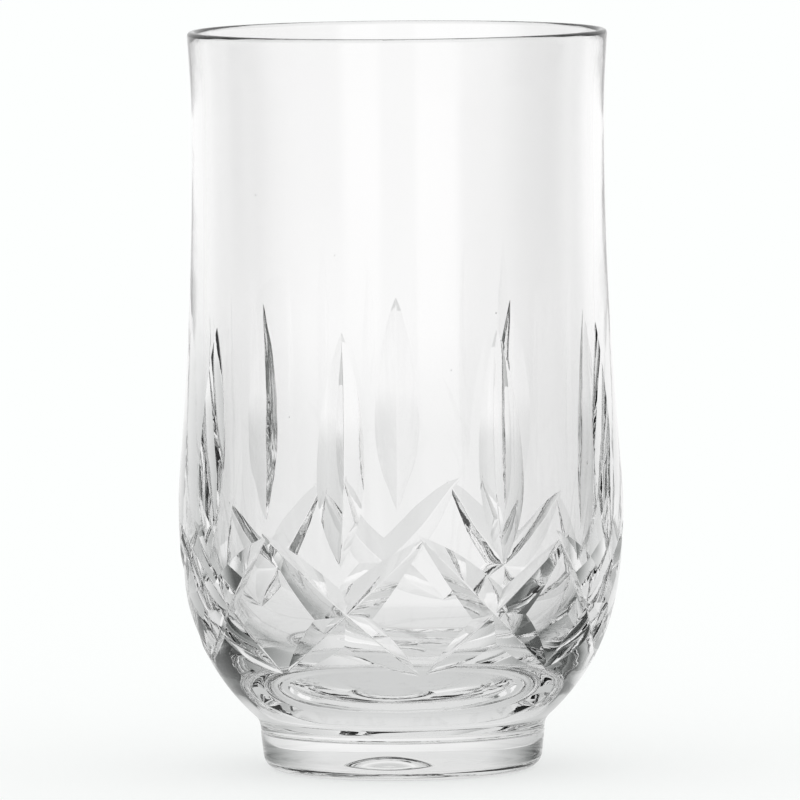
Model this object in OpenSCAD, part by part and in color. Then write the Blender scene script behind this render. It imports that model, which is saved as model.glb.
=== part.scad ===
// Water glass of cut crystal. A blown bowl carries a band of wheel cuts and stands on a
// pressed foot that was stuck on hot. Millimetres, +Z up, origin in the middle of the face
// that the glass stands on.

/* [Bowl outline] */
// Height from the table to the top of the rim
glass_h = 127; // [118:0.5:145]
// Outer radius at the belly
belly_r = 38.2; // [34:0.1:43]
// How much narrower the waist is than the belly
waist_in = 2.9; // [1.5:0.1:5]
// How much wider the rim is than the waist
rim_flare = 0.7; // [0:0.1:2]
// How much narrower the foot is than the belly
foot_in = 13.8; // [10:0.1:17]
// Height of the waist
waist_z = 111; // [95:0.5:115]
// Height of the belly
belly_z = 44.7; // [41:0.1:50]
// Radius of the belly's curve from top to bottom
belly_curve = 84; // [65:1:110]
// Radius of the tighter curve under the belly
bowl_curve = 36.4; // [32:0.2:42]
// Radius of the hollow curve down to the foot
cove_curve = 3; // [1.5:0.1:6]

/* [Bowl wall] */
// Wall at the rim
rim_t = 1.5; // [1.1:0.05:2.4]
// Wall at the waist
waist_t = 2; // [1.4:0.05:3.2]
// Wall beside the band of cuts, where the inside is widest
belly_t = 4.4; // [3.8:0.1:6.5]
// Height at which the inside is widest
well_z = 55; // [46:0.5:70]
// Height of the inside floor
floor_z = 16; // [12:0.5:24]

/* [Foot] */
// Height of the foot
foot_h = 6.8; // [5:0.1:10]
// How much the foot narrows on the way down
foot_taper = 0.4; // [0:0.05:1.5]
// Rounding of the edge that meets the table
foot_edge_r = 3; // [1:0.1:4]
// Rounding on each side of the crease between the bowl and the foot
crease_r = 0.35; // [0.2:0.05:1]
// Width of the flat ring that the glass rests on
ring_w = 1.2; // [0.8:0.1:3]
// Depth of the shallow hollow inside that ring
hollow_depth = 1.2; // [0.5:0.1:1.8]
// Radius of the polished pit where the rod was broken off
pontil_r = 6.7; // [4:0.1:9]
// Depth of that pit
pontil_depth = 2.1; // [0.6:0.1:2.4]
// How far to the left of the middle it was polished
pontil_off = 1.7; // [0:0.1:3]

/* [Tall cuts] */
// Number of tall cuts, each with a pair of crossed cuts under it
cut_count = 9; // [7:1:11]
// Turn of the first tall cut round the axis from +X, in degrees
first_turn = 15; // [-40:1:40]
// Height of the middle of a tall cut
tall_z = 54; // [50:0.5:60]
// Depth of a tall cut
tall_depth = 2.45; // [1.6:0.05:2.9]
// Radius of the wheel that cuts it, which sets its length
tall_wheel_r = 100; // [60:1:140]
// Angle between the two faces of a tall cut, in degrees
tall_angle = 124; // [100:1:136]

/* [Crossed cuts] */
// Height at which a pair of crossed cuts meets
cross_z = 28.9; // [26:0.1:33]
// Depth of a crossed cut where the pair meets
cross_depth = 2.2; // [1.4:0.05:2.6]
// How much deeper the second cut of a pair bites than the first
second_bite = 0.15; // [0.1:0.05:0.3]
// Rise of a crossed cut from level, in degrees
cross_rise = 43; // [35:1:50]
// Radius of the root along a crossed cut, which sets its length
cross_root_r = 98; // [85:1:200]
// Angle between the two faces of a crossed cut, in degrees
cross_angle = 120; // [100:1:134]

/* [Hidden] */

$fn = 120;
// Run of every cutter past the surface that it cuts
overrun = 2;
// How far above and below a cut the lean of the side is read
nearby = 2;
// Steps along one free curve of the outline
steps = 10;
// Most that a straight run of the outline strays from a round one
fineness = 0.02;

// Pulls of the inside's curves, as shares of each stretch
shoulder_share = 0.13;
waist_share = 0.6;
lip_share = 0.33;
well_share = 0.8;
floor_share = 0.82;

waist_r = belly_r - waist_in;
rim_r = waist_r + rim_flare;
foot_r = belly_r - foot_in;
lip_z = glass_h - rim_t / 2;
joint_r = foot_r - crease_r;
cove_z = foot_h + crease_r;
foot_low_r = foot_r - foot_taper;
rest_r = foot_low_r - foot_edge_r;
hollow_r = rest_r - ring_w;

// A curve from p[0] to p[3] that sets off towards p[1] and comes in from p[2]
function curve(p) = [
    for (i = [0 : steps])
        let (t = i / steps, s = 1 - t)
        s * s * s * p[0] + 3 * s * s * t * p[1] + 3 * s * t * t * p[2] + t * t * t * p[3]
];

// A round stretch about a centre, from one angle to another
function arc(centre, r, from, to) =
    let (n = ceil(abs(to - from) / (2 * acos(1 - fineness / r))))
    [for (i = [0 : n]) let (a = from + (to - from) * i / n) centre + r * [cos(a), sin(a)]];

// The direction from one point to another, in degrees
function bearing(from, to) = atan2(to.y - from.y, to.x - from.x);

// An upright stretch that leaves and arrives upright, with a pull at each end
function upright(low, high, low_pull, high_pull) = curve([
    low,
    low + [0, low_pull * (high.y - low.y)],
    high - [0, high_pull * (high.y - low.y)],
    high
]);

// The lip leaves the waist upright and arrives leaning outwards
function lip(waist, edge) = curve([
    waist,
    waist + [0, lip_share * (edge.y - waist.y)],
    [(waist.x + edge.x) / 2, edge.y - lip_share * (edge.y - waist.y)],
    edge
]);

function reversed(points) = [for (i = [len(points) - 1 : -1 : 0]) points[i]];

function unit(v) = v / norm(v);

// Radius of the ball that leaves a hollow of a given radius and depth
function ball_r(r, depth) = (r * r + depth * depth) / (2 * depth);

// The point at distance r1 from c1 and r2 from c2, on the left of the way from c1 to c2
function apex(c1, r1, c2, r2) =
    let (
        d = norm(c2 - c1),
        along = (r1 * r1 - r2 * r2 + d * d) / (2 * d),
        off = sqrt(r1 * r1 - along * along),
        u = unit(c2 - c1)
    )
    c1 + along * u + off * [-u.y, u.x];

// The outline is four round stretches that run smoothly into one another: the belly, the
// bowl under it, the hollow cove above the foot, and the long hollow side up to the waist
belly_c = [belly_r - belly_curve, belly_z];
cove_c = [foot_r + cove_curve, cove_z];
bowl_c = apex(belly_c, belly_curve - bowl_curve, cove_c, bowl_curve + cove_curve);
side_off = waist_r - belly_c.x;
side_rise = waist_z - belly_z;
side_curve = (side_off * side_off + side_rise * side_rise - belly_curve * belly_curve)
    / (2 * (belly_curve - side_off));
side_c = [waist_r + side_curve, waist_z];

cove_end = bearing(cove_c, bowl_c);
belly_end = bearing(belly_c, side_c);
bowl_end = bearing(belly_c, bowl_c);
outside = concat(
    arc(cove_c, cove_curve, 180, cove_end < 0 ? cove_end + 360 : cove_end),
    arc(bowl_c, bowl_curve, bearing(bowl_c, cove_c), bowl_end),
    arc(belly_c, belly_curve, bowl_end, belly_end),
    arc(side_c, side_curve, 180 + belly_end, 180)
);

// The way round the belly from one tall cut to the next
pitch = 2 * PI * belly_r / cut_count;

well_r = belly_r - belly_t;
inner_waist_r = waist_r - waist_t;
well = curve([
    [0, floor_z],
    [floor_share * well_r, floor_z],
    [well_r, well_z - well_share * (well_z - floor_z)],
    [well_r, well_z]
]);
inner_side = upright([well_r, well_z], [inner_waist_r, waist_z], shoulder_share, waist_share);
inside = concat(well, inner_side, lip([inner_waist_r, waist_z], [rim_r - rim_t, lip_z]));

// Radius of the bowl at a height, and how far its side leans there from upright
outside_by_height = [for (p = outside) [p.y, p.x]];
function bowl_r(z) = lookup(z, outside_by_height);
function lean(z) = atan((bowl_r(z + nearby) - bowl_r(z - nearby)) / (2 * nearby));

// Puts a cutter on the bowl, its +X along the surface's outward normal there
module on_bowl(turn, z) {
    rotate([0, 0, turn])
        translate([bowl_r(z), 0, z])
            rotate([0, lean(z), 0])
                children();
}

// A V-edged sweep about +Z, centred on +X and run to each side of it
module sweep(edge_r, back_r, flank, run) {
    turn = asin(run / edge_r);
    rotate([0, 0, -turn])
        rotate_extrude(angle = 2 * turn)
            polygon([[edge_r, 0], [back_r, -flank], [back_r, flank]]);
}

// The edge of a grinding wheel, upright, with its deepest bite at -tall_depth
module tall_cutter() {
    bite = tall_depth + overrun;
    translate([tall_wheel_r - tall_depth, 0, 0])
        rotate([-90, 0, 180])
            sweep(tall_wheel_r, tall_wheel_r - bite, bite * tan(tall_angle / 2),
                sqrt(2 * tall_wheel_r * bite));
}

// What a wheel sweeps as the glass is rolled under it, with its root at -depth
module cross_cutter(side, depth) {
    bite = depth + overrun;
    translate([-depth - cross_root_r, 0, 0])
        rotate([side * cross_rise, 0, 0])
            sweep(cross_root_r, cross_root_r + bite, bite * tan(cross_angle / 2), pitch);
}

module blown_bowl() {
    rotate_extrude()
        polygon(concat(
            [[0, foot_h]],
            arc([joint_r, cove_z], crease_r, -90, 0),
            outside,
            lip([waist_r, waist_z], [rim_r, lip_z]),
            arc([rim_r - rim_t / 2, lip_z], rim_t / 2, 0, 180),
            reversed(inside)
        ));
}

module bowl() {
    color("aliceblue", 0.35)
        difference() {
            blown_bowl();
            for (i = [0 : cut_count - 1]) {
                turn = first_turn + i * 360 / cut_count;
                on_bowl(turn, tall_z) tall_cutter();
                on_bowl(turn, cross_z) cross_cutter(1, cross_depth);
                on_bowl(turn, cross_z) cross_cutter(-1, cross_depth + second_bite);
            }
        }
}

// A ball whose top is at a height, and which is as wide as r at the given depth under it
module hollow(top, r, depth) {
    ball = ball_r(r, depth);
    translate([0, 0, top - ball]) sphere(r = ball);
}

module foot() {
    color("aliceblue", 0.35)
        difference() {
            rotate_extrude()
                polygon(concat(
                    [[0, 0]],
                    arc([rest_r, foot_edge_r], foot_edge_r, -90, 0),
                    arc([joint_r, foot_h - crease_r], crease_r, 0, 90),
                    [[0, foot_h]]
                ));
            hollow(hollow_depth, hollow_r, hollow_depth);
            translate([-pontil_off, 0, 0])
                hollow(hollow_depth + pontil_depth, pontil_r, pontil_depth);
        }
}

bowl();
foot();
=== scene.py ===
import math

import bpy
from mathutils import Matrix, Vector


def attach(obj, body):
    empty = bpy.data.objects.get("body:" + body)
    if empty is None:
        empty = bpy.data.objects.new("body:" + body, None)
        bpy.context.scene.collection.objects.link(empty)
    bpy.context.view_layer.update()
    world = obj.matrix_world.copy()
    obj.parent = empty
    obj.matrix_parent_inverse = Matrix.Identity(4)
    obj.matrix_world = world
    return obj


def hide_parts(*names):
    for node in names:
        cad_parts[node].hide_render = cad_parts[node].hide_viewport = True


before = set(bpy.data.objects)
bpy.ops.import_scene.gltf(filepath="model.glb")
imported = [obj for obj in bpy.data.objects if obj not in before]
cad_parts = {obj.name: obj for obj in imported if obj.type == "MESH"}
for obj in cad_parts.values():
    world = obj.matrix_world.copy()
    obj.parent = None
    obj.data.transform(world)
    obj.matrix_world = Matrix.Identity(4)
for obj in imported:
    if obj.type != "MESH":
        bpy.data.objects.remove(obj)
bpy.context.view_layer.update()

mm = 0.001
weld = 0.002 * mm  # points closer than this become one


def deselectAll():
    if bpy.context.mode != "OBJECT":
        bpy.ops.object.mode_set(mode="OBJECT")
    bpy.ops.object.select_all(action="DESELECT")


def pick(obj):
    deselectAll()
    obj.select_set(True)
    bpy.context.view_layer.objects.active = obj


def arc(centre, radius, start, end, step):
    # a round stretch in the plane of the outline, angles in degrees
    count = max(2, math.ceil(abs(end - start) * math.pi / 180 * radius / step))
    spots = []
    for i in range(count + 1):
        angle = math.radians(start + (end - start) * i / count)
        spots.append((centre[0] + radius * math.cos(angle), centre[1] + radius * math.sin(angle)))
    return spots


def bearing(start, end):
    return math.degrees(math.atan2(end[1] - start[1], end[0] - start[0]))


def bezier(p, count):
    spots = []
    for i in range(count + 1):
        t = i / count
        s = 1 - t
        weights = (s * s * s, 3 * s * s * t, 3 * s * t * t, t * t * t)
        spots.append(tuple(sum(w * q[k] for w, q in zip(weights, p)) for k in (0, 1)))
    return spots


def apex(c1, r1, c2, r2):
    # the point at distance r1 from c1 and r2 from c2
    dx, dy = c2[0] - c1[0], c2[1] - c1[1]
    d = math.hypot(dx, dy)
    along = (r1 * r1 - r2 * r2 + d * d) / (2 * d)
    off = math.sqrt(r1 * r1 - along * along)
    return (c1[0] + (along * dx - off * dy) / d, c1[1] + (along * dy + off * dx) / d)


def drawnLine(name, spots):
    # one vertex of a tiny plane, extruded from spot to spot in the XZ plane, in millimetres
    deselectAll()
    x, z = spots[0]
    bpy.ops.mesh.primitive_plane_add(size=mm, location=(x * mm, 0, z * mm))
    obj = bpy.context.object
    obj.name = name
    bpy.ops.object.transform_apply(location=True, rotation=True, scale=True)
    bpy.ops.object.mode_set(mode="EDIT")
    bpy.ops.mesh.merge(type="CENTER")
    for (ax, az), (bx, bz) in zip(spots, spots[1:]):
        bpy.ops.mesh.extrude_region_move(
            TRANSFORM_OT_translate={"value": ((bx - ax) * mm, 0, (bz - az) * mm)})
    return obj


def spunSolid(name, spots, steps, turn=360.0):
    # a line spun round the upright axis; a part turn gets both its ends filled
    obj = drawnLine(name, spots)
    bpy.ops.mesh.select_all(action="SELECT")
    if turn < 360:
        bpy.ops.mesh.remove_doubles(threshold=weld)
    bpy.ops.mesh.spin(steps=steps, angle=math.radians(turn), center=(0, 0, 0), axis=(0, 0, 1))
    bpy.ops.mesh.select_all(action="SELECT")
    bpy.ops.mesh.remove_doubles(threshold=weld)
    if turn < 360:
        bpy.ops.mesh.fill_holes(sides=0)
    bpy.ops.mesh.select_all(action="SELECT")
    bpy.ops.mesh.normals_make_consistent(inside=False)
    bpy.ops.object.mode_set(mode="OBJECT")
    if turn < 360:
        middle = sum((v.co for v in obj.data.vertices), Vector())
        place(obj, Matrix.Rotation(-math.atan2(middle.y, middle.x), 4, "Z"))
    return obj


def place(obj, matrix):
    # moves a piece by a matrix and leaves its object at the origin
    pick(obj)
    obj.matrix_world = matrix
    bpy.ops.object.transform_apply(location=True, rotation=True, scale=True)


def turned(degrees, axis):
    return Matrix.Rotation(math.radians(degrees), 4, axis)


def moved(x, y, z):
    return Matrix.Translation((x * mm, y * mm, z * mm))


# the glass's own sizes, in millimetres and degrees
glass = {
    "high": 127, "rimR": 36, "waistR": 35.3, "waistZ": 111, "bellyR": 38.2, "bellyZ": 44.7,
    "bellyCurve": 84, "bowlCurve": 36.4, "coveCurve": 3, "creaseR": 0.35,
    "rimWall": 1.5, "waistWall": 2, "bellyWall": 4.4, "wellZ": 55, "floorZ": 16,
    "shoulderShare": 0.13, "waistShare": 0.6, "lipShare": 0.33, "wellShare": 0.8, "floorShare": 0.82,
    "fine": 0.9, "coveFine": 0.3, "sideFine": 1.6, "lipFine": 0.16, "creaseFine": 0.08,
    "wellSteps": 60, "sideSteps": 40, "lipSteps": 14, "around": 240, "smooth": 12,
}
foot = {
    "topR": 24.4, "high": 6.8, "taper": 0.4, "edgeR": 3, "hollowR": 19.8, "hollowDeep": 1.2,
    "pontilR": 6.7, "pontilDeep": 2.1, "pontilX": -1.7, "pontilAround": 180, "pontilRings": 160,
    "fine": 0.35, "hollowFine": 0.8, "around": 240, "smooth": 14,
}


def lipLine(waist, edge):
    g = glass
    return bezier([waist, (waist[0], waist[1] + g["lipShare"] * (edge[1] - waist[1])),
                   ((waist[0] + edge[0]) / 2, edge[1] - g["lipShare"] * (edge[1] - waist[1])), edge],
                  g["lipSteps"])


def outsideLine():
    g = glass
    coveZ = foot["high"] + g["creaseR"]
    belly = (g["bellyR"] - g["bellyCurve"], g["bellyZ"])
    cove = (foot["topR"] + g["coveCurve"], coveZ)
    under = apex(belly, g["bellyCurve"] - g["bowlCurve"], cove, g["bowlCurve"] + g["coveCurve"])
    off, rise = g["waistR"] - belly[0], g["waistZ"] - belly[1]
    sideCurve = (off * off + rise * rise - g["bellyCurve"] ** 2) / (2 * (g["bellyCurve"] - off))
    side = (g["waistR"] + sideCurve, g["waistZ"])
    coveEnd = bearing(cove, under) % 360
    bellyEnd = bearing(belly, side)
    bowlEnd = bearing(belly, under)
    return (arc(cove, g["coveCurve"], 180, coveEnd, g["coveFine"])
            + arc(under, g["bowlCurve"], bearing(under, cove), bowlEnd, g["fine"])[1:]
            + arc(belly, g["bellyCurve"], bowlEnd, bellyEnd, g["fine"])[1:]
            + arc(side, sideCurve, 180 + bellyEnd, 180, g["sideFine"])[1:])


def insideLine():
    g = glass
    wellR = g["bellyR"] - g["bellyWall"]
    waist = (g["waistR"] - g["waistWall"], g["waistZ"])
    well = bezier([(0, g["floorZ"]), (g["floorShare"] * wellR, g["floorZ"]),
                   (wellR, g["wellZ"] - g["wellShare"] * (g["wellZ"] - g["floorZ"])), (wellR, g["wellZ"])],
                  g["wellSteps"])
    rise = g["waistZ"] - g["wellZ"]
    side = bezier([(wellR, g["wellZ"]), (wellR, g["wellZ"] + g["shoulderShare"] * rise),
                   (waist[0], g["waistZ"] - g["waistShare"] * rise), waist], g["sideSteps"])
    lip = lipLine(waist, (g["rimR"] - g["rimWall"], g["high"] - g["rimWall"] / 2))
    return well + side[1:] + lip[1:]


outside = outsideLine()


def bowlR(z):
    for (r1, z1), (r2, z2) in zip(outside, outside[1:]):
        if z1 <= z <= z2:
            return r1 + (r2 - r1) * (z - z1) / (z2 - z1)
    return outside[-1][0]


def blownBowl():
    g = glass
    joinR = foot["topR"] - g["creaseR"]
    lipZ = g["high"] - g["rimWall"] / 2
    line = ([(0, foot["high"])]
            + arc((joinR, foot["high"] + g["creaseR"]), g["creaseR"], -90, 0, g["creaseFine"])
            + outside[1:]
            + lipLine((g["waistR"], g["waistZ"]), (g["rimR"], lipZ))[1:]
            + arc((g["rimR"] - g["rimWall"] / 2, lipZ), g["rimWall"] / 2, 0, 180, g["lipFine"])[1:]
            + insideLine()[::-1][1:])
    return spunSolid("bowl_glass", line, g["around"])


# the wheel cuts; the listed turns are added to the regular spacing, in degrees
cuts = {
    "count": 9, "firstTurn": 15, "overrun": 2, "nearby": 2, "rootR": 0.35,
    "tallZ": 54, "tallDeep": 2.45, "tallWheelR": 100, "tallAngle": 124, "tallSteps": 80,
    "tallByHand": (0, 0, -4, 0, 0, -4, -0.7, 2, 2.5),
    "crossZ": 28.9, "crossDeep": 2.2, "secondBite": 0.15, "crossRise": 43, "crossRootR": 98,
    "crossAngle": 120, "crossSteps": 90, "crossByHand": (-0.5, 0, 0, 0, -1, -3.5, -0.7, 2, 0.8),
}


def onBowl(turn, z):
    # puts a cutter on the bowl's side, leaning as the side does
    nearby = cuts["nearby"]
    lean = math.degrees(math.atan((bowlR(z + nearby) - bowlR(z - nearby)) / (2 * nearby)))
    return turned(turn, "Z") @ moved(bowlR(z), 0, z) @ turned(lean, "Y")


def carve(piece, cutter):
    # takes the cutter's shape out of the piece, and the cutter away
    pick(piece)
    cut = piece.modifiers.new("cut", "BOOLEAN")
    cut.operation, cut.solver, cut.object = "DIFFERENCE", "MANIFOLD", cutter
    bpy.ops.object.modifier_apply(modifier=cut.name)
    bpy.data.objects.remove(cutter)


def grind(bowl, wheel, matrix):
    # takes one cut of a wheel out of the bowl
    cutter = wheel.copy()
    cutter.data = wheel.data.copy()
    bpy.context.collection.objects.link(cutter)
    place(cutter, matrix)
    carve(bowl, cutter)


def wornEdge(r, halfAngle, back):
    # the rounded edge of a V; back is -1 where the V widens inwards, 1 where it widens outwards
    half = math.radians(halfAngle)
    worn = cuts["rootR"]
    centre = r + back * worn / math.sin(half)
    spots = []
    for i in range(5):
        a = (math.pi / 2 - half) * (i / 2 - 1)
        spots.append((centre - back * worn * math.cos(a), -worn * math.sin(a)))
    return spots


def tallWheel():
    c = cuts
    bite = c["tallDeep"] + c["overrun"]
    r = c["tallWheelR"]
    flank = bite * math.tan(math.radians(c["tallAngle"] / 2))
    turn = 2 * math.degrees(math.asin(math.sqrt(2 * r * bite) / r))
    edge = wornEdge(r, c["tallAngle"] / 2, -1)
    line = edge + [(r - bite, -flank), (r - bite, flank), edge[0]]
    wheel = spunSolid("tall_wheel", line, c["tallSteps"], turn)
    place(wheel, moved(r - c["tallDeep"], 0, 0) @ turned(180, "Z") @ turned(-90, "X"))
    return wheel


def crossWheel(side, deep):
    c = cuts
    bite = deep + c["overrun"]
    r = c["crossRootR"]
    flank = bite * math.tan(math.radians(c["crossAngle"] / 2))
    pitch = 2 * math.pi * glass["bellyR"] / c["count"]
    turn = 2 * math.degrees(math.asin(pitch / r))
    edge = wornEdge(r, c["crossAngle"] / 2, 1)
    line = edge + [(r + bite, -flank), (r + bite, flank), edge[0]]
    wheel = spunSolid("cross_wheel", line, c["crossSteps"], turn)
    place(wheel, moved(-deep - r, 0, 0) @ turned(side * c["crossRise"], "X"))
    return wheel


# small bubbles in the wall: turn in degrees, height, radius out and half length, in millimetres
seeds = {
    "spots": [(-133.7, 100.3, 34.6, 0.17), (-62.6, 80.4, 35.2, 0.18), (-31.6, 53.9, 36.7, 0.32),
              (-108, 90.5, 34.7, 0.12), (-76, 71, 35.6, 0.13), (-121, 63, 36, 0.14)],
    "thin": 0.6, "around": 16, "rings": 12,
}


def addSeeds(bowl):
    s = seeds
    for turn, z, r, half in s["spots"]:
        deselectAll()
        bpy.ops.mesh.primitive_uv_sphere_add(
            segments=s["around"], ring_count=s["rings"], radius=half * mm, scale=(s["thin"], s["thin"], 1))
        seed = bpy.context.object
        place(seed, turned(turn, "Z") @ moved(r, 0, z) @ seed.matrix_world.copy())
        carve(bowl, seed)


print("blowing the bowl")
bowl = blownBowl()

print("grinding the cuts")
wheels = [(tallWheel(), cuts["tallZ"]), (crossWheel(1, cuts["crossDeep"]), cuts["crossZ"]),
          (crossWheel(-1, cuts["crossDeep"] + cuts["secondBite"]), cuts["crossZ"])]
for i in range(cuts["count"]):
    for wheel, z in wheels:
        byHand = cuts["crossByHand" if z == cuts["crossZ"] else "tallByHand"][i]
        grind(bowl, wheel, onBowl(cuts["firstTurn"] + i * 360 / cuts["count"] + byHand, z))
for wheel, z in wheels:
    bpy.data.objects.remove(wheel)
addSeeds(bowl)
pick(bowl)
bpy.ops.object.shade_smooth_by_angle(angle=math.radians(glass["smooth"]))
print("bowl:", len(bowl.data.vertices), "vertices,", len(bowl.data.polygons), "faces")


def ballOf(radius, deep):
    # radius of the ball that leaves a hollow of this radius and depth
    return (radius ** 2 + deep ** 2) / (2 * deep)


def footDisc():
    f = foot
    hollowBall = ballOf(f["hollowR"], f["hollowDeep"])
    hollowZ = f["hollowDeep"] - hollowBall
    hollowTurn = math.degrees(math.asin(f["hollowR"] / hollowBall))
    lowR = f["topR"] - f["taper"]
    crease = glass["creaseR"]
    line = (arc((0, hollowZ), hollowBall, 90, 90 - hollowTurn, f["hollowFine"])
            + arc((lowR - f["edgeR"], f["edgeR"]), f["edgeR"], -90, 0, f["fine"])
            + arc((f["topR"] - crease, f["high"] - crease), crease, 0, 90, glass["creaseFine"])
            + [(0, f["high"])])
    disc = spunSolid("foot_glass", line, f["around"])
    pontilBall = ballOf(f["pontilR"], f["pontilDeep"])
    deselectAll()
    bpy.ops.mesh.primitive_uv_sphere_add(
        segments=f["pontilAround"], ring_count=f["pontilRings"], radius=pontilBall * mm,
        location=(f["pontilX"] * mm, 0, (f["hollowDeep"] + f["pontilDeep"] - pontilBall) * mm))
    ball = bpy.context.object
    bpy.ops.object.transform_apply(location=True, rotation=True, scale=True)
    carve(disc, ball)
    return disc


print("pressing the foot")
footPiece = footDisc()
pick(footPiece)
bpy.ops.object.shade_smooth_by_angle(angle=math.radians(foot["smooth"]))


def node(tree, kind, **values):
    made = tree.nodes.new("ShaderNode" + kind)
    for key, value in values.items():
        setattr(made, key, value)
    return made


def wire(tree, source, target):
    tree.links.new(source, target)


def mathNode(tree, operation, first, second=None):
    made = node(tree, "Math", operation=operation)
    for slot, value in enumerate((first, second)):
        if value is None:
            continue
        if isinstance(value, (int, float)):
            made.inputs[slot].default_value = value
        else:
            wire(tree, value, made.inputs[slot])
    return made.outputs[0]


def mixed(tree, factor, first, second):
    # first where the factor is 0, second where it is 1, as plain numbers
    made = node(tree, "Mix", data_type="FLOAT")
    for slot, value in ((0, factor), (2, first), (3, second)):
        if isinstance(value, (int, float)):
            made.inputs[slot].default_value = value
        else:
            wire(tree, value, made.inputs[slot])
    return made.outputs[0]


def smoothStep(tree, value, low, high):
    made = node(tree, "MapRange", interpolation_type="SMOOTHSTEP")
    wire(tree, value, made.inputs["Value"])
    made.inputs["From Min"].default_value, made.inputs["From Max"].default_value = low, high
    return made.outputs[0]


crystalLook = {"tint": (0.996, 0.995, 0.995, 1), "roughness": 0, "ior": 1.54}
polish = {"swell": 220, "grain": 900, "grainShare": 0.3, "strength": 0.1, "reach": 0.0002}
waves = {"scale": 120, "strength": 0.2, "reach": 0.0002, "roughZ": 0.035, "calmZ": 0.062, "calm": 0.7}
# where the ground faces lie, in millimetres, and how level a fused face is
cutFaces = {"low": 13, "high": 84, "under": 0.02, "near": 0.001, "level": 0.99}


def unevenGroup():
    # heights of a surface from two sizes of noise
    group = bpy.data.node_groups.new("uneven", "ShaderNodeTree")
    for name, kind in (("Position", "NodeSocketVector"), ("Coarse", "NodeSocketFloat"),
                       ("Fine", "NodeSocketFloat"), ("Fine Share", "NodeSocketFloat")):
        group.interface.new_socket(name, in_out="INPUT", socket_type=kind)
    group.interface.new_socket("Height", in_out="OUTPUT", socket_type="NodeSocketFloat")
    given, taken = group.nodes.new("NodeGroupInput"), group.nodes.new("NodeGroupOutput")
    heights = []
    for size, detail in (("Coarse", 1.0), ("Fine", 3.0)):
        noise = node(group, "TexNoise")
        noise.inputs["Detail"].default_value = detail
        wire(group, given.outputs["Position"], noise.inputs["Vector"])
        wire(group, given.outputs[size], noise.inputs["Scale"])
        heights.append(noise.outputs["Fac"])
    wire(group, mixed(group, given.outputs["Fine Share"], *heights), taken.inputs["Height"])
    return group


def roughened(mat, group, coarse, fine, fineShare, strength, reach):
    # a bump of the shared uneven heights, which calms down towards the upper wall
    tree = mat.node_tree
    uneven = node(tree, "Group", node_tree=group)
    spot = node(tree, "TexCoord").outputs["Object"]
    wire(tree, spot, uneven.inputs["Position"])
    uneven.inputs["Coarse"].default_value = coarse
    uneven.inputs["Fine"].default_value = fine
    uneven.inputs["Fine Share"].default_value = fineShare
    bump = node(tree, "Bump")
    bump.inputs["Strength"].default_value = strength
    bump.inputs["Distance"].default_value = reach
    parts = node(tree, "SeparateXYZ")
    wire(tree, spot, parts.inputs[0])
    calm = smoothStep(tree, parts.outputs["Z"], waves["roughZ"], waves["calmZ"])
    height = mathNode(tree, "MULTIPLY", uneven.outputs["Height"], mixed(tree, calm, 1.0, waves["calm"]))
    wire(tree, height, bump.inputs["Height"])
    wire(tree, bump.outputs["Normal"], tree.nodes["Principled BSDF"].inputs["Normal"])


def crystalMaterial(name):
    mat = bpy.data.materials.new(name)
    mat.use_nodes = True
    shader = mat.node_tree.nodes["Principled BSDF"]
    shader.inputs["Base Color"].default_value = crystalLook["tint"]
    shader.inputs["Roughness"].default_value = crystalLook["roughness"]
    shader.inputs["IOR"].default_value = crystalLook["ior"]
    shader.inputs["Transmission Weight"].default_value = 1.0
    return mat


def joinMaterial():
    # the two faces that were fused hot, where light passes straight on
    mat = bpy.data.materials.new("crystal_join")
    mat.use_nodes = True
    tree = mat.node_tree
    tree.nodes.remove(tree.nodes["Principled BSDF"])
    clear = node(tree, "BsdfTransparent")
    wire(tree, clear.outputs["BSDF"], tree.nodes["Material Output"].inputs["Surface"])
    return mat


def groundFace(face):
    # true for a face that a wheel has ground
    x, y, z = face.center / mm
    if face.normal.x * x + face.normal.y * y <= 0:
        return False
    return cutFaces["low"] < z < cutFaces["high"] and math.hypot(x, y) < bowlR(z) - cutFaces["under"]


def fusedFace(face):
    # true for a face of the hot joint
    z = face.center.z / mm
    return abs(z - foot["high"]) < cutFaces["near"] and abs(face.normal.z) > cutFaces["level"]


print("making the crystal")
crystal, crystalCut, join = crystalMaterial("crystal"), crystalMaterial("crystal_cut"), joinMaterial()
uneven = unevenGroup()
roughened(crystal, uneven, waves["scale"], waves["scale"], 0, waves["strength"], waves["reach"])
roughened(crystalCut, uneven, polish["swell"], polish["grain"], polish["grainShare"],
          polish["strength"], polish["reach"])
for piece in (bowl, footPiece):
    piece.data.materials.clear()
    for look in (crystal, join, crystalCut):
        piece.data.materials.append(look)
    for face in piece.data.polygons:
        if fusedFace(face):
            face.material_index = 1
        elif groundFace(face):
            face.material_index = 2

for piece, cadNode in ((bowl, "bowl"), (footPiece, "foot")):
    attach(piece, "root")
    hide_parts(cadNode)

studio = {
    "eye": (0, -2.06, 0.2207), "aim": (0, 0, 0.0634), "roll": -0.48, "lens": 541.6, "sensor": 36,
    "clipNear": 0.05, "clipFar": 60,
}


def studioCamera():
    s = studio
    data = bpy.data.cameras.new("camera")
    data.lens, data.sensor_width = s["lens"], s["sensor"]
    data.clip_start, data.clip_end = s["clipNear"], s["clipFar"]
    cam = bpy.data.objects.new("camera", data)
    bpy.context.collection.objects.link(cam)
    ahead = Vector(s["aim"]) - Vector(s["eye"])
    turn = ahead.to_track_quat("-Z", "Y").to_matrix().to_4x4()
    cam.matrix_world = Matrix.Translation(s["eye"]) @ turn @ turned(s["roll"], "Z")
    bpy.context.scene.camera = cam


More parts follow.
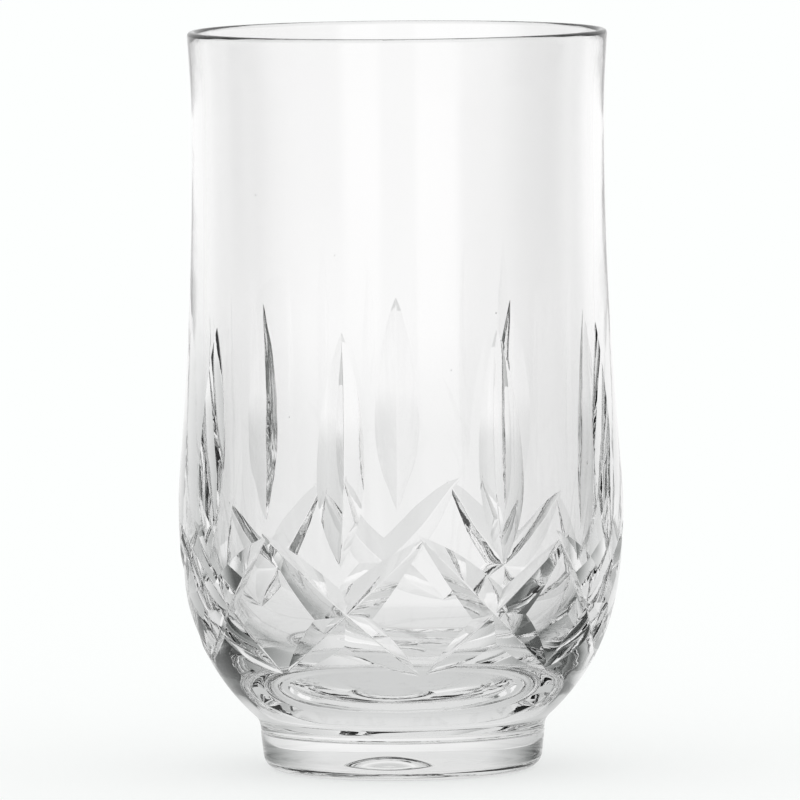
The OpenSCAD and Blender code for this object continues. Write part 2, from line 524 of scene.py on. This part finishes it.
# a ring gives the brightness round the glass by azimuth in degrees: 0 is behind it, 90 on the
# right and 180 at the camera; it shows only through the glass and in its gloss
backdrop = {
    "ring": [(-180, 0.7), (-171, 0.72), (-168, 1), (-135, 1), (-116, 0.85), (-106, 0.4), (-98, 0.05),
             (-66, 0.03), (-56, 0.25), (-45, 0.5), (-28, 0.76), (26, 0.79), (45, 0.55), (58, 0.3),
             (68, 0.15), (78, 0.02), (112, 0.015), (124, 0.12), (143, 0.2), (149, 0.9), (168, 0.95),
             (171, 0.72), (180, 0.7)],
    "overhead": 0.76, "overheadFrom": 0.25, "overheadTo": 1, "daylight": 1, "cast": (1.025, 1, 1.012),
}
# the floor as it shows in the glass's gloss and through the glass is painted light and shade: its
# brightness by azimuth is painted shade, darker towards the sides, and near and beneath the glass it is
# darker still, a painted shadow of the glass
floorLook = {
    "far": [(-180, 0.7), (-171, 0.72), (-168, 1), (-145, 1), (-116, 0.95), (-104, 0.6), (-96, 0.25),
            (-76, 0.12), (-64, 0.4), (-50, 0.88), (-35, 0.95), (-14, 1), (-4, 1), (1.5, 1), (3, 0.96),
            (9, 0.98), (15, 1), (32, 1), (50, 0.95), (62, 0.42), (74, 0.28), (82, 0.03), (112, 0.03),
            (122, 0.15), (143, 0.22), (149, 0.9), (168, 0.95), (171, 0.72), (180, 0.7)],
    "near": [(-180, 0.8), (-150, 0.95), (-108, 0.9), (-96, 0.55), (-88, 0.15), (-80, 0.35), (-72, 0.55),
             (-56, 0.5), (-35, 0.68), (-20, 0.8), (-12, 0.87), (12, 0.92), (20, 0.9), (40, 0.8),
             (55, 0.72), (64, 0.6), (74, 0.25), (82, 0.12), (106, 0.08), (118, 0.5), (150, 0.66),
             (180, 0.8)],
    "under": [(-180, 0.6), (-130, 0.5), (-115, 0.4), (-98, 0.35), (-80, 0.55), (-55, 0.72), (-20, 0.77),
              (20, 0.77), (58, 0.72), (70, 0.6), (82, 0.42), (95, 0.1), (115, 0.06), (140, 0.45),
              (180, 0.6)],
    "paintedShadowBeneath": 0.63, "beneathR": 0.023, "underR": 0.033, "edgeR": 0.045, "besideR": 0.08,
    "nearR": 0.3, "farR": 0.7, "lit": 0.4, "white": 1, "roughness": 0.9, "size": 24, "middle": 6,
}
bounces = {"all": 24, "through": 24, "gloss": 12}


def ringOf(tree, x, y, stops):
    # brightness by azimuth from a list of stops
    azimuth = mathNode(tree, "ARCTAN2", x, y)
    share = mathNode(tree, "ADD", mathNode(tree, "DIVIDE", azimuth, 2 * math.pi), 0.5)
    ramp = node(tree, "ValToRGB")
    wire(tree, share, ramp.inputs[0])
    marks = ramp.color_ramp.elements
    for degrees, value in stops[1:-1]:
        marks.new(degrees / 360 + 0.5)
    for mark, (degrees, value) in zip(marks, stops):
        mark.position = degrees / 360 + 0.5
        mark.color = (value / 2, value / 2, value / 2, 1)
    return mathNode(tree, "MULTIPLY", ramp.outputs[0], 2)


def castGrey(tree, level):
    # a grey whose dark tones lean a little to green, as thick glass makes them
    grey = node(tree, "CombineColor")
    for slot, power in enumerate(backdrop["cast"]):
        wire(tree, mathNode(tree, "POWER", level, power), grey.inputs[slot])
    return grey.outputs[0]


def floorSheet():
    f = floorLook
    deselectAll()
    bpy.ops.mesh.primitive_plane_add(size=f["size"], location=(0, f["middle"], 0))
    obj = bpy.context.object
    obj.name = "floor"
    place(obj, obj.matrix_world.copy())
    mat = bpy.data.materials.new("floor")
    mat.use_nodes = True
    tree = mat.node_tree
    shader = tree.nodes["Principled BSDF"]
    shader.inputs["Roughness"].default_value = f["roughness"]
    shader.inputs["Specular IOR Level"].default_value = 0
    spot = node(tree, "TexCoord").outputs["Object"]
    parts = node(tree, "SeparateXYZ")
    wire(tree, spot, parts.inputs[0])
    reach = node(tree, "VectorMath", operation="LENGTH")
    wire(tree, spot, reach.inputs[0])
    under, near, far = [ringOf(tree, parts.outputs["X"], parts.outputs["Y"], stops)
                        for stops in (f["under"], f["near"], f["far"])]
    clearOf = smoothStep(tree, reach.outputs["Value"], f["beneathR"], f["underR"])
    beside = smoothStep(tree, reach.outputs["Value"], f["edgeR"], f["besideR"])
    away = smoothStep(tree, reach.outputs["Value"], f["nearR"], f["farR"])
    # painted shade by azimuth, with the painted shadow of the glass near and beneath it
    seen = mixed(tree, away, mixed(tree, beside, mixed(tree, clearOf, f["paintedShadowBeneath"], under), near), far)
    path = node(tree, "LightPath")
    through = mathNode(tree, "MAXIMUM", path.outputs["Is Glossy Ray"], path.outputs["Is Transmission Ray"])
    white = mathNode(tree, "MULTIPLY", path.outputs["Is Camera Ray"], f["white"])
    # in the glass's gloss and through the glass the floor only glows with this painted shade; to the
    # camera it glows white and keeps its lit part, with the real shadow
    level = mixed(tree, through, white, seen)
    body = mixed(tree, through, f["lit"], 0.0)
    glow = mathNode(tree, "SUBTRACT", level, mathNode(tree, "MULTIPLY", level, body))
    wire(tree, castGrey(tree, body), shader.inputs["Base Color"])
    wire(tree, castGrey(tree, glow), shader.inputs["Emission Color"])
    shader.inputs["Emission Strength"].default_value = 1.0
    obj.data.materials.append(mat)


def studioWorld():
    b = backdrop
    world = bpy.data.worlds.new("studio")
    bpy.context.scene.world = world
    world.use_nodes = True
    tree = world.node_tree
    look = node(tree, "TexCoord").outputs["Generated"]
    parts = node(tree, "SeparateXYZ")
    wire(tree, look, parts.inputs[0])
    ring = ringOf(tree, parts.outputs["X"], parts.outputs["Y"], b["ring"])
    up = smoothStep(tree, parts.outputs["Z"], b["overheadFrom"], b["overheadTo"])
    seen = mixed(tree, up, ring, b["overhead"])
    path = node(tree, "LightPath")
    through = mathNode(tree, "MAXIMUM", path.outputs["Is Glossy Ray"], path.outputs["Is Transmission Ray"])
    level = mixed(tree, through, b["daylight"], seen)
    wire(tree, castGrey(tree, level), tree.nodes["Background"].inputs["Color"])


print("setting up the studio")
studioCamera()
floorSheet()
studioWorld()

scene = bpy.context.scene
scene.view_settings.view_transform = "Standard"
scene.cycles.max_bounces = bounces["all"]
scene.cycles.transmission_bounces = bounces["through"]
scene.cycles.glossy_bounces = bounces["gloss"]
